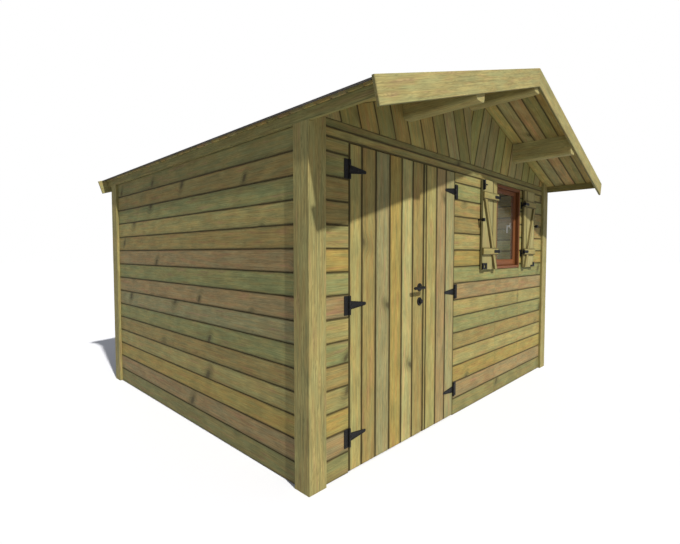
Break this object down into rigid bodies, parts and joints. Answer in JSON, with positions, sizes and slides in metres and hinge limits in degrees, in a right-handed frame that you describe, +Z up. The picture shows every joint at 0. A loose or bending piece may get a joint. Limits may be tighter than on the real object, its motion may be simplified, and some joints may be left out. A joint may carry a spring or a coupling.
{
  "type": "timber garden shed",
  "caption": "Log-board garden shed with corner posts, gable roof, deep front overhang, uneven double door and shuttered window.",
  "frame": {"origin": "on the ground, under the middle of the roof's outline, which is the middle of the whole shed's box", "axes": "+X along the front to the right as seen from outside, +Y from the front into the shed, +Z up"},
  "size_m": [3.712, 3.603, 2.5992],
  "materials": {
    "wall_timber": "pressure-treated, satin",
    "post_timber": "planed, pressure-treated, satin",
    "roof_timber": "pressure-treated, satin",
    "trim_timber": "pressure-treated, satin",
    "door_timber": "pressure-treated, satin",
    "shutter_timber": "pressure-treated, satin",
    "window_timber": "mahogany stain, satin",
    "glass": "clear",
    "black_iron": "satin black",
    "pale_metal": "satin",
    "roof_felt": "mineral bitumen felt, rough"
  },
  "bodies": {
    "shed": {"front_left_post": "post_timber", "front_right_post": "post_timber", "rear_left_post": "post_timber", "rear_right_post": "post_timber", "left_wall": "wall_timber", "right_wall": "wall_timber", "rear_wall": "wall_timber", "front_wall_left": "wall_timber", "front_wall_middle": "wall_timber", "front_wall_below_window": "wall_timber", "front_wall_right": "wall_timber", "front_wall_top": "wall_timber", "front_gable": "wall_timber", "rear_gable": "wall_timber", "left_door_jamb": "post_timber", "right_door_jamb": "post_timber", "door_head": "post_timber", "window_frame": "window_timber", "window_sash": "window_timber", "window_glass": "glass", "window_handle": "pale_metal", "left_eave_board": "post_timber", "right_eave_board": "post_timber", "ridge_purlin": "post_timber", "left_purlin": "post_timber", "right_purlin": "post_timber", "left_roof_boards": "roof_timber", "right_roof_boards": "roof_timber", "roof_covering": "roof_felt", "front_left_bargeboard": "trim_timber", "front_right_bargeboard": "trim_timber", "rear_left_bargeboard": "trim_timber", "rear_right_bargeboard": "trim_timber", "door_hinge_plates": "black_iron", "shutter_pintles": "black_iron", "shutter_stops": "black_iron"},
    "left_leaf": {"left_door": "door_timber", "left_door_hinges": "black_iron", "door_lock": "black_iron"},
    "lever": {"door_lever": "black_iron"},
    "right_leaf": {"right_door": "door_timber", "right_door_hinges": "black_iron"},
    "left_shutter_leaf": {"left_shutter": "shutter_timber", "left_shutter_straps": "black_iron"},
    "right_shutter_leaf": {"right_shutter": "shutter_timber", "right_shutter_straps": "black_iron"}
  },
  "joints": [
    {"name": "left_door_swing", "type": "hinge", "parent": "shed", "child": "left_leaf", "pos_m": [-1.4475, -1.2888, 1], "axis": [0, 0, -1], "range_deg": [0, 120]},
    {"name": "right_door_swing", "type": "hinge", "parent": "shed", "child": "right_leaf", "pos_m": [-0.2545, -1.2888, 1], "axis": [0, 0, 1], "range_deg": [0, 160]},
    {"name": "lever_turn", "type": "hinge", "parent": "left_leaf", "child": "lever", "pos_m": [-0.732, -1.2815, 1.04], "axis": [0, -1, 0], "range_deg": [0, 40], "stiffness_Nm_per_rad": 1.2, "springref_deg": -17.19},
    {"name": "left_shutter_swing", "type": "hinge", "parent": "shed", "child": "left_shutter_leaf", "pos_m": [0.464, -1.308, 1.5], "axis": [0, 0, 1], "range_deg": [0, 180]},
    {"name": "right_shutter_swing", "type": "hinge", "parent": "shed", "child": "right_shutter_leaf", "pos_m": [1.066, -1.308, 1.5], "axis": [0, 0, -1], "range_deg": [0, 180]}
  ]
}
